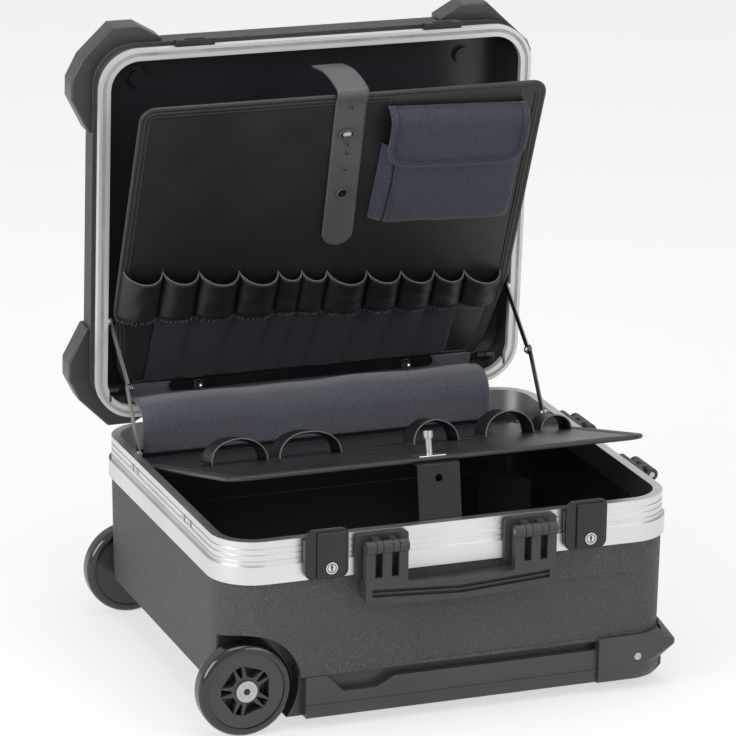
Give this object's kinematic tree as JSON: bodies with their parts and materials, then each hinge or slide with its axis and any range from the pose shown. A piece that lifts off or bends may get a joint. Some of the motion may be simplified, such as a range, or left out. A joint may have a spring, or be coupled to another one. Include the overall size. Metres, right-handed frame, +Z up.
{
  "type": "hard tool case",
  "caption": "Wheeled hard-shell tool case with aluminium rims, hinged lid on stays, latches, carrying handles, telescoping trolley handle, tool boards with pockets, loops and a pouch.",
  "frame": {"origin": "middle of the flat pad on the bottom tray's underside", "axes": "+Z up, -Y towards the front with the locks, +X towards the trolley handle's end"},
  "size_m": [0.551, 0.5266, 0.6525],
  "materials": {
    "shell": "grained charcoal shell",
    "tray": "smooth dark tray plastic",
    "band": "satin anodised aluminium",
    "lock_black": "black lock plastic",
    "handle": "dark grey handle plastic",
    "chrome": "bright plated steel",
    "steel": "plated steel",
    "tyre": "glossy black rubber",
    "hub": "black wheel plastic",
    "seal": "soft black seal",
    "board": "black artificial leather on board",
    "cloth": "thin artificial leather",
    "denim": "dark blue-grey canvas",
    "felt": "navy grey felt",
    "strap": "grey strap",
    "stay": "blackened steel strip"
  },
  "bodies": {
    "base": {"base_shell": "shell", "base_band": "band", "base_rivets": "steel", "bottom_tray": "tray", "tray_feet": "seal", "corner_cap_front": "tray", "corner_cap_rear": "tray", "cap_screws": "steel", "lock_body_left": "lock_black", "lock_body_right": "lock_black", "front_brackets": "handle", "side_brackets": "handle", "handle_pins": "steel", "wheel_axles": "steel", "trolley_outer_tubes": "band", "hinge_base_leaves": "steel", "hinge_pins": "steel", "lower_board_pins": "steel", "felt_panel": "felt"},
    "lid": {"lid_shell": "shell", "lid_band": "band", "lid_seal": "seal", "lid_cap_front": "tray", "lid_cap_rear": "tray", "lid_catches": "lock_black", "hinge_lid_leaves": "steel", "lid_rivets": "steel", "board_pins": "steel"},
    "upper_pallet": {"upper_board": "board", "pocket_row": "cloth", "lower_pocket_row": "denim", "pouch_body": "denim", "clamp_bar": "lock_black", "strap": "strap", "strap_stud": "chrome"},
    "pouch_cover": {"pouch_flap": "denim"},
    "turn_left": {"turn_button_left": "chrome"},
    "turn_right": {"turn_button_right": "chrome"},
    "lower_pallet": {"lower_board": "board", "tool_loops": "cloth", "pallet_post": "steel", "prop_plate": "lock_black"},
    "stay_link_left_low": {"stay_left_lower": "stay"},
    "stay_link_left_high": {"stay_left_upper": "stay"},
    "stay_link_right_low": {"stay_right_lower": "stay"},
    "stay_link_right_high": {"stay_right_upper": "stay"},
    "flap_left": {"lock_flap_left": "lock_black"},
    "flap_right": {"lock_flap_right": "lock_black"},
    "key_left": {"key_cylinder_left": "chrome"},
    "key_right": {"key_cylinder_right": "chrome"},
    "carry_front": {"front_handle": "handle"},
    "carry_side": {"side_handle": "handle"},
    "wheel_front": {"wheel_front_tyre": "tyre", "wheel_front_hub": "hub"},
    "wheel_rear": {"wheel_rear_tyre": "tyre", "wheel_rear_hub": "hub"},
    "trolley_mid": {"trolley_mid_tubes": "band"},
    "trolley_inner": {"trolley_inner_tubes": "band", "trolley_grip": "handle"},
    "trolley_release": {"trolley_button": "lock_black"}
  },
  "joints": [
    {"name": "lid_hinge", "type": "hinge", "parent": "base", "child": "lid", "pos_m": [0, 0.219, 0.19], "axis": [1, 0, 0], "range_deg": [0, 86.6], "deforming": ["felt_panel", "strap"]},
    {"name": "upper_pallet_tilt", "type": "hinge", "parent": "lid", "child": "upper_pallet", "pos_m": [0, 0.2625, 0.221], "axis": [1, 0, 0], "range_deg": [-19.15, 0]},
    {"name": "lower_pallet_tilt", "type": "hinge", "parent": "base", "child": "lower_pallet", "pos_m": [0, 0.15516, 0.17007], "axis": [1, 0, 0], "range_deg": [0, 14.65]},
    {"name": "front_handle_swing", "type": "hinge", "parent": "base", "child": "carry_front", "pos_m": [0, -0.23, 0.187], "axis": [1, 0, 0], "range_deg": [-95, 0]},
    {"name": "side_handle_swing", "type": "hinge", "parent": "base", "child": "carry_side", "pos_m": [0.27, 0, 0.187], "axis": [0, 1, 0], "range_deg": [-95, 0]},
    {"name": "wheel_front_spin", "type": "hinge", "parent": "base", "child": "wheel_front", "pos_m": [-0.224, -0.195, 0.0385], "axis": [0, 1, 0], "continuous": true},
    {"name": "wheel_rear_spin", "type": "hinge", "parent": "base", "child": "wheel_rear", "pos_m": [-0.224, 0.195, 0.0385], "axis": [0, 1, 0], "continuous": true},
    {"name": "trolley_slide_mid", "type": "slide", "parent": "base", "child": "trolley_mid", "axis": [1, 0, 0], "range_m": [0, 0.26]},
    {"name": "trolley_slide_inner", "type": "slide", "parent": "trolley_mid", "child": "trolley_inner", "axis": [1, 0, 0], "range_m": [0, 0.26]},
    {"name": "trolley_button_press", "type": "slide", "parent": "trolley_inner", "child": "trolley_release", "axis": [1, 0, 0], "range_m": [-0.0025, 0], "stiffness_N_per_m": 400, "springref_m": 0.002},
    {"name": "pouch_flap_lift", "type": "hinge", "parent": "upper_pallet", "child": "pouch_cover", "pos_m": [0.122, 0.11461, 0.56889], "axis": [1, 0, 0], "range_deg": [-120, 0]},
    {"name": "stay_left_low_pivot", "type": "hinge", "parent": "base", "child": "stay_link_left_low", "pos_m": [-0.23585, 0.116, 0.194], "axis": [1, 0, 0], "range_deg": [-28.43, 0]},
    {"name": "stay_left_high_pivot", "type": "hinge", "parent": "lid", "child": "stay_link_left_high", "pos_m": [-0.23395, 0.22494, 0.31257], "axis": [1, 0, 0], "range_deg": [0, 70.68]},
    {"name": "lock_flap_left_lift", "type": "hinge", "parent": "base", "child": "flap_left", "pos_m": [-0.139, -0.2228, 0.206], "axis": [1, 0, 0], "range_deg": [-60, 0]},
    {"name": "key_left_turn", "type": "hinge", "parent": "flap_left", "child": "key_left", "pos_m": [-0.139, -0.2228, 0.168], "axis": [0, 1, 0], "range_deg": [-90, 0]},
    {"name": "turn_button_left_twist", "type": "hinge", "parent": "upper_pallet", "child": "turn_left", "pos_m": [-0.124, 0.25116, 0.22226], "axis": [0, -0.9239, -0.3827], "range_deg": [-90, 0]},
    {"name": "stay_right_low_pivot", "type": "hinge", "parent": "base", "child": "stay_link_right_low", "pos_m": [0.23585, 0.116, 0.194], "axis": [1, 0, 0], "range_deg": [-28.43, 0]},
    {"name": "stay_right_high_pivot", "type": "hinge", "parent": "lid", "child": "stay_link_right_high", "pos_m": [0.23395, 0.22494, 0.31257], "axis": [1, 0, 0], "range_deg": [0, 70.68]},
    {"name": "lock_flap_right_lift", "type": "hinge", "parent": "base", "child": "flap_right", "pos_m": [0.147, -0.2228, 0.206], "axis": [1, 0, 0], "range_deg": [-60, 0]},
    {"name": "key_right_turn", "type": "hinge", "parent": "flap_right", "child": "key_right", "pos_m": [0.147, -0.2228, 0.168], "axis": [0, 1, 0], "range_deg": [-90, 0]},
    {"name": "turn_button_right_twist", "type": "hinge", "parent": "upper_pallet", "child": "turn_right", "pos_m": [0.124, 0.25116, 0.22226], "axis": [0, -0.9239, -0.3827], "range_deg": [-90, 0]}
  ],
  "couplings": [
    {"joint": "upper_pallet_tilt", "follows": "lid_hinge", "ratio": -0.22055},
    {"joint": "lower_pallet_tilt", "follows": "lid_hinge", "ratio": 0.16859},
    {"joint": "trolley_slide_inner", "follows": "trolley_slide_mid", "ratio": 1},
    {"joint": "stay_left_low_pivot", "follows": "lid_hinge", "ratio": -0.32768},
    {"joint": "stay_left_high_pivot", "follows": "lid_hinge", "ratio": 0.81559},
    {"joint": "stay_right_low_pivot", "follows": "lid_hinge", "ratio": -0.32768},
    {"joint": "stay_right_high_pivot", "follows": "lid_hinge", "ratio": 0.81559}
  ]
}
